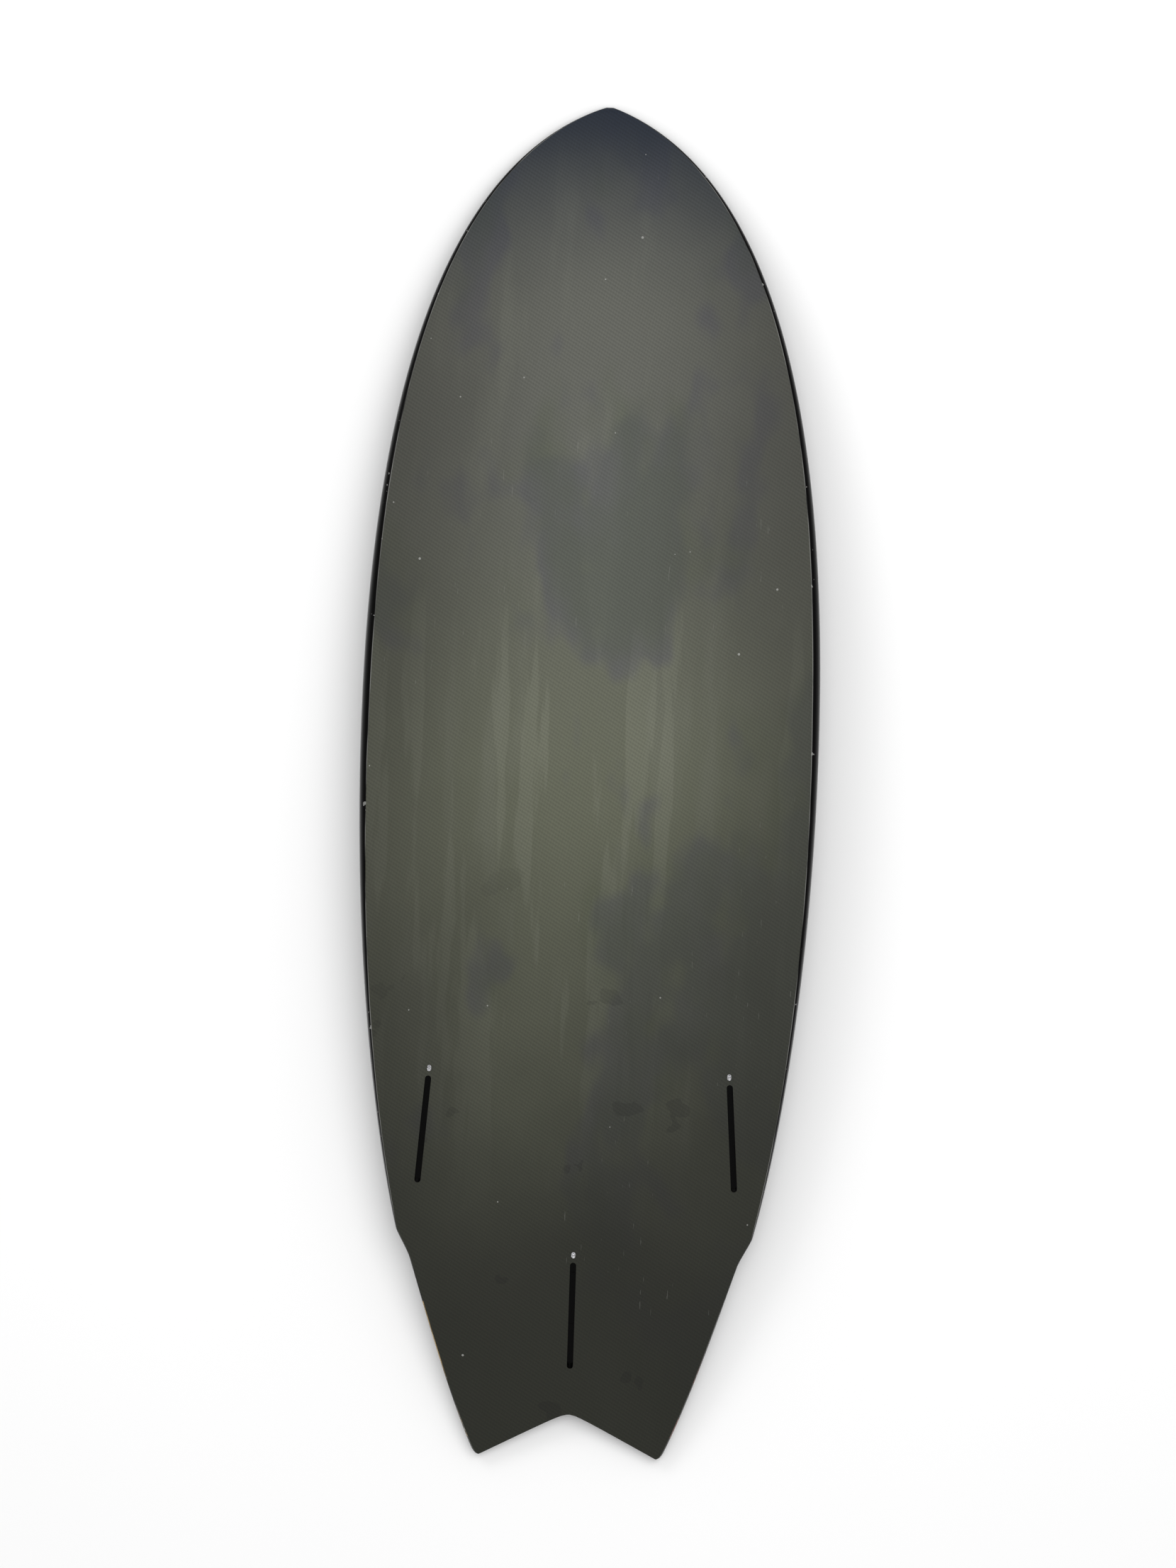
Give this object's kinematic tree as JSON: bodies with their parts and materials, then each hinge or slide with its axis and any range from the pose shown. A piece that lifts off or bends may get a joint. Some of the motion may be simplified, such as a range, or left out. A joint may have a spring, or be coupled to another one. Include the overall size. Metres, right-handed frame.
{
  "type": "shortboard surfboard",
  "caption": "Short foam surfboard in dark carbon twill with gloss rails, pointed nose, winged swallow tail, single-slot fin boxes, leash plug and vent.",
  "frame": {"origin": "centre of the bounding box in plan, at the level of the lowest point; the board lies deck down with its fin side up", "axes": "+Y towards the nose, +Z out of the bottom (fin side), +X to the right seen from the bottom with the nose up"},
  "size_m": [0.488, 1.448, 0.0752],
  "materials": {
    "foam": "matt",
    "plywood": "matt",
    "carbon_twill": "sanded matt",
    "gloss_black": "gloss",
    "box_plastic": "gloss",
    "vent_plastic": "satin",
    "seal": "matt",
    "stainless": "satin"
  },
  "bodies": {
    "board": {"foam_core_left": "foam", "foam_core_right": "foam", "stringer": "plywood", "bottom_skin": "carbon_twill", "deck_skin": "carbon_twill", "left_rail": "gloss_black", "right_rail": "gloss_black", "tail_notch_wrap": "gloss_black", "left_fin_box": "box_plastic", "centre_fin_box": "box_plastic", "right_fin_box": "box_plastic", "leash_plug_cup": "box_plastic", "leash_plug_bar": "stainless", "vent_body": "box_plastic"},
    "left_fin_screw": {"left_fin_screw": "stainless"},
    "centre_fin_screw": {"centre_fin_screw": "stainless"},
    "right_fin_screw": {"right_fin_screw": "stainless"},
    "vent_plug": {"vent_screw": "vent_plastic", "vent_o_ring": "seal"}
  },
  "joints": [
    {"name": "left_fin_screw_travel", "type": "slide", "parent": "board", "child": "left_fin_screw", "axis": [0.0483, 0.6418, 0.7654], "range_m": [-0.0035, 0.002]},
    {"name": "centre_fin_screw_travel", "type": "slide", "parent": "board", "child": "centre_fin_screw", "axis": [0, 0.614, 0.7893], "range_m": [-0.0035, 0.002]},
    {"name": "right_fin_screw_travel", "type": "slide", "parent": "board", "child": "right_fin_screw", "axis": [-0.0483, 0.6418, 0.7654], "range_m": [-0.0035, 0.002]},
    {"name": "vent_plug_travel", "type": "slide", "parent": "board", "child": "vent_plug", "axis": [0, 0, -1], "range_m": [0, 0.006]}
  ]
}
